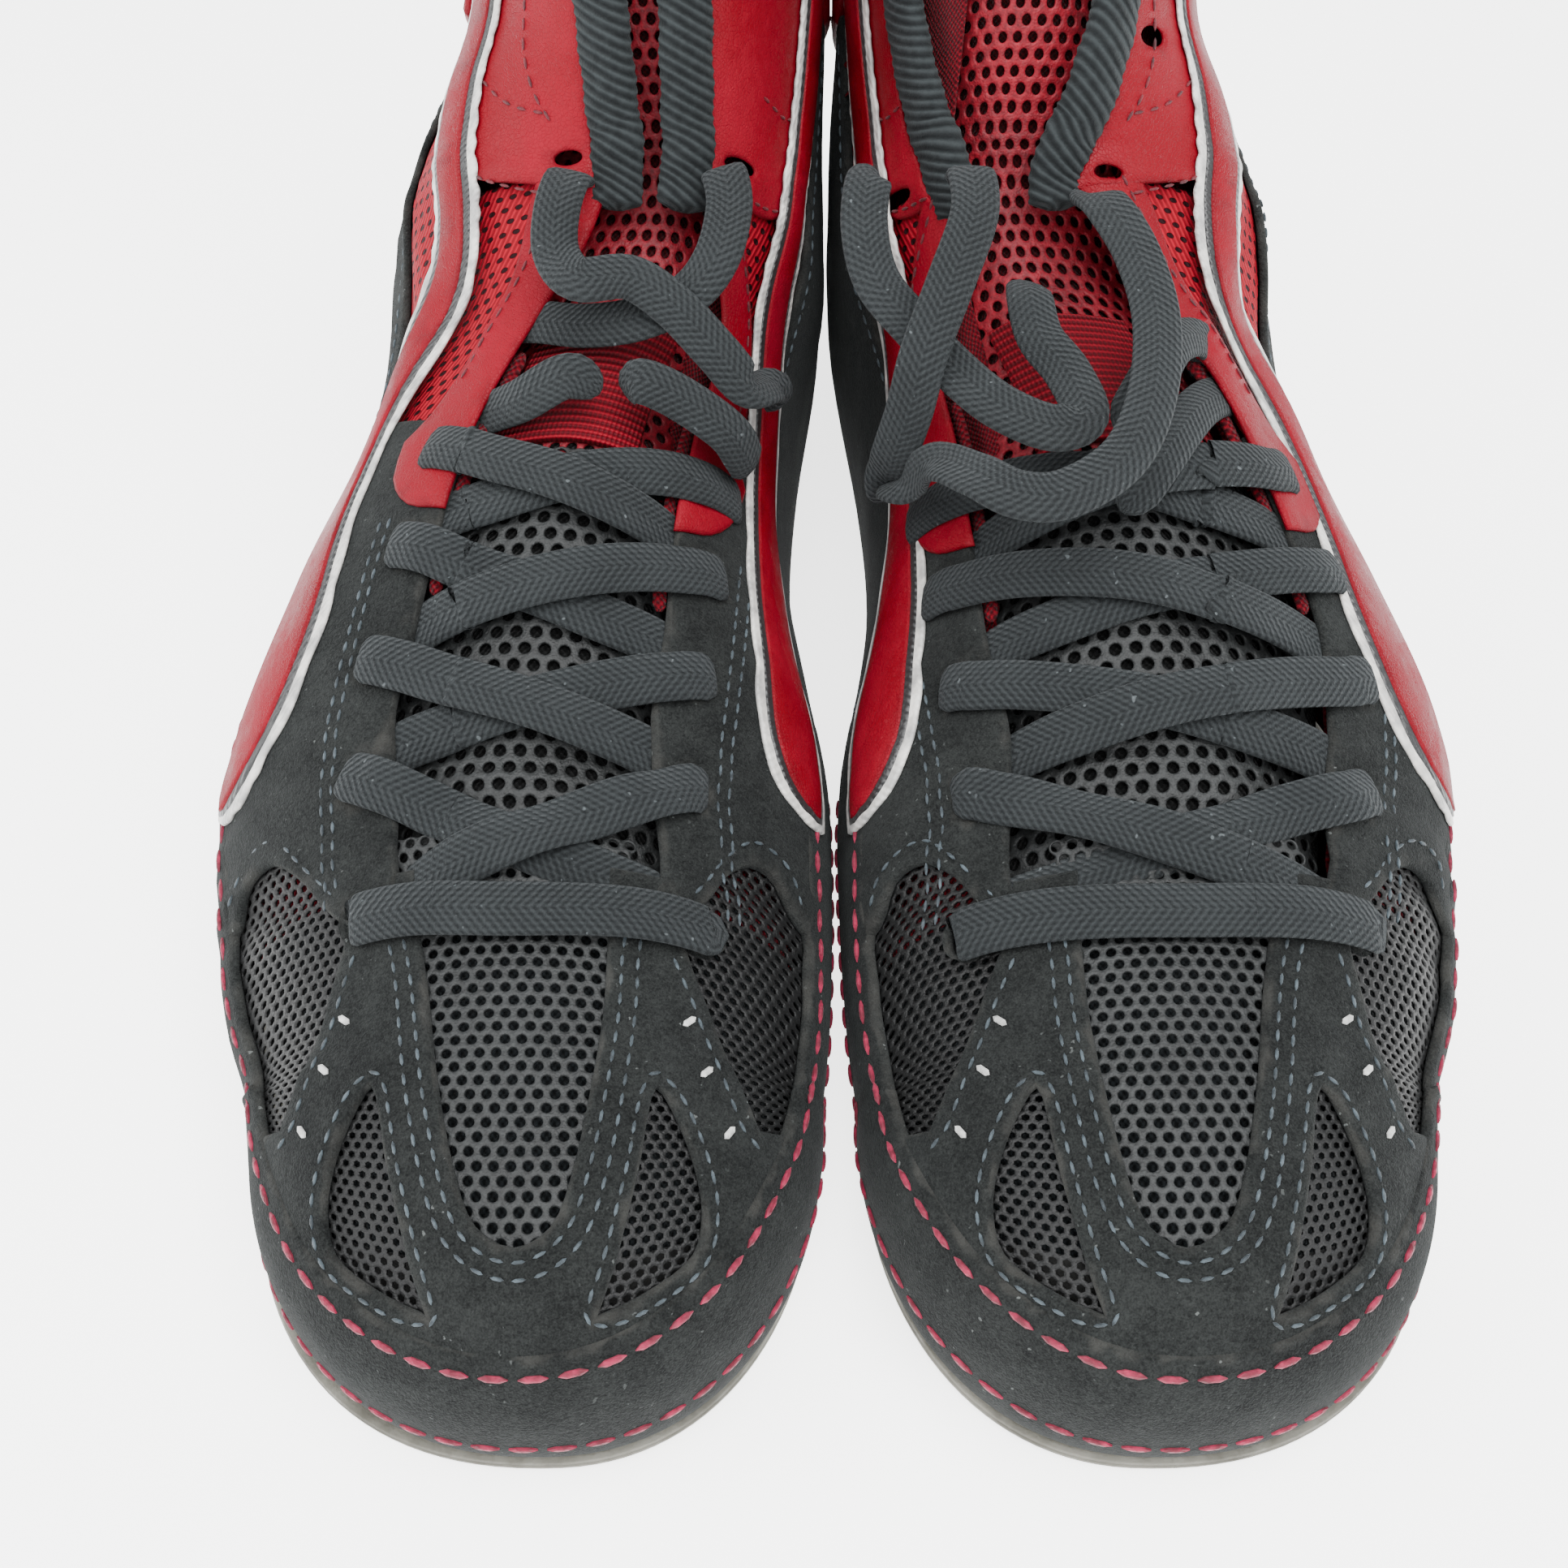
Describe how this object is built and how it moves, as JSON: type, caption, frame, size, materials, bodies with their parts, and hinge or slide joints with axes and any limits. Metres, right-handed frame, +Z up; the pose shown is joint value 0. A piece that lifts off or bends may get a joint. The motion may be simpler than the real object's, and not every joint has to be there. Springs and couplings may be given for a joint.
{
  "type": "boxing boots",
  "caption": "Pair of lace-up ankle boxing boots with suede toe rands, mesh vamps, red synthetic uppers and thin rubber soles.",
  "frame": {"origin": "middle of the pair's bounding box at floor level, between the two boots", "axes": "+X towards the left boot's outer side, +Y towards the heels, +Z up; toes point along -Y"},
  "size_m": [0.2158, 0.3036, 0.165],
  "materials": {
    "gum_rubber": "semi-translucent moulded tread",
    "foam": "EVA foam",
    "board": "stitched fibre board",
    "sock_cloth": "foam faced with cloth",
    "black_lining": "knit lining",
    "red_lining": "padded mesh lining",
    "stiffener": "thermoplastic sheet",
    "suede": "brushed suede",
    "black_mesh": "open spacer mesh",
    "fine_mesh": "fine woven mesh",
    "red_leather": "matt coated synthetic leather",
    "red_mesh": "open spacer mesh",
    "knit_binding": "ribbed knit tape",
    "lace_cotton": "flat woven cotton"
  },
  "bodies": {
    "left_boot": {"left_outsole": "gum_rubber", "left_midsole": "foam", "left_insole_board": "board", "left_sockliner": "sock_cloth", "left_quarter_lining_medial": "red_lining", "left_quarter_lining_lateral": "red_lining", "left_heel_stiffener": "stiffener", "left_side_mesh": "fine_mesh", "left_lower_eyestay": "suede", "left_upper_eyestay": "red_leather", "left_quarter_mesh": "red_mesh", "left_swept_panel_medial": "red_leather", "left_swept_panel_lateral": "red_leather", "left_heel_counter": "suede", "left_ankle_flap_medial": "red_leather", "left_ankle_flap_lateral": "red_leather", "left_collar": "red_mesh", "left_throat_binding": "knit_binding", "left_tongue_base": "black_mesh", "left_lace": "lace_cotton", "left_lace_end_a": "lace_cotton", "left_lace_end_b": "lace_cotton"},
    "left_toe": {"left_outsole_toe": "gum_rubber", "left_midsole_toe": "foam", "left_toe_lining": "black_lining", "left_toe_puff": "stiffener", "left_toe_rand": "suede", "left_vamp_mesh": "black_mesh", "left_vamp_overlay": "suede"},
    "left_tongue": {"left_tongue_top": "red_mesh"},
    "right_boot": {"right_outsole": "gum_rubber", "right_midsole": "foam", "right_insole_board": "board", "right_sockliner": "sock_cloth", "right_quarter_lining_medial": "red_lining", "right_quarter_lining_lateral": "red_lining", "right_heel_stiffener": "stiffener", "right_side_mesh": "fine_mesh", "right_lower_eyestay": "suede", "right_upper_eyestay": "red_leather", "right_quarter_mesh": "red_mesh", "right_swept_panel_medial": "red_leather", "right_swept_panel_lateral": "red_leather", "right_heel_counter": "suede", "right_ankle_flap_medial": "red_leather", "right_ankle_flap_lateral": "red_leather", "right_collar": "red_mesh", "right_throat_binding": "knit_binding", "right_tongue_base": "black_mesh", "right_lace": "lace_cotton", "right_lace_end_a": "lace_cotton", "right_lace_end_b": "lace_cotton"},
    "right_toe": {"right_outsole_toe": "gum_rubber", "right_midsole_toe": "foam", "right_toe_lining": "black_lining", "right_toe_puff": "stiffener", "right_toe_rand": "suede", "right_vamp_mesh": "black_mesh", "right_vamp_overlay": "suede"},
    "right_tongue": {"right_tongue_top": "red_mesh"}
  },
  "joints": [
    {"name": "pair_slide", "type": "slide", "parent": "left_boot", "child": "right_boot", "axis": [-1, 0, 0], "range_m": [0, 0.15]},
    {"name": "left_toe_flex", "type": "hinge", "parent": "left_boot", "child": "left_toe", "pos_m": [0, -0.062, 0.0065], "axis": [-1, 0, 0], "range_deg": [0, 18], "stiffness_Nm_per_rad": 2, "deforming": ["left_insole_board", "left_sockliner", "left_toe_rand", "left_vamp_mesh", "left_vamp_overlay", "left_side_mesh", "left_lower_eyestay", "left_tongue_base", "left_lace"]},
    {"name": "left_tongue_tilt", "type": "hinge", "parent": "left_boot", "child": "left_tongue", "pos_m": [0, -0.006, 0.068], "axis": [-1, 0, 0], "range_deg": [0, 8], "stiffness_Nm_per_rad": 0.5},
    {"name": "right_toe_flex", "type": "hinge", "parent": "right_boot", "child": "right_toe", "pos_m": [0, -0.062, 0.0065], "axis": [-1, 0, 0], "range_deg": [0, 18], "stiffness_Nm_per_rad": 2, "deforming": ["right_insole_board", "right_sockliner", "right_toe_rand", "right_vamp_mesh", "right_vamp_overlay", "right_side_mesh", "right_lower_eyestay", "right_tongue_base", "right_lace"]},
    {"name": "right_tongue_tilt", "type": "hinge", "parent": "right_boot", "child": "right_tongue", "pos_m": [0, -0.006, 0.068], "axis": [-1, 0, 0], "range_deg": [0, 8], "stiffness_Nm_per_rad": 0.5}
  ]
}
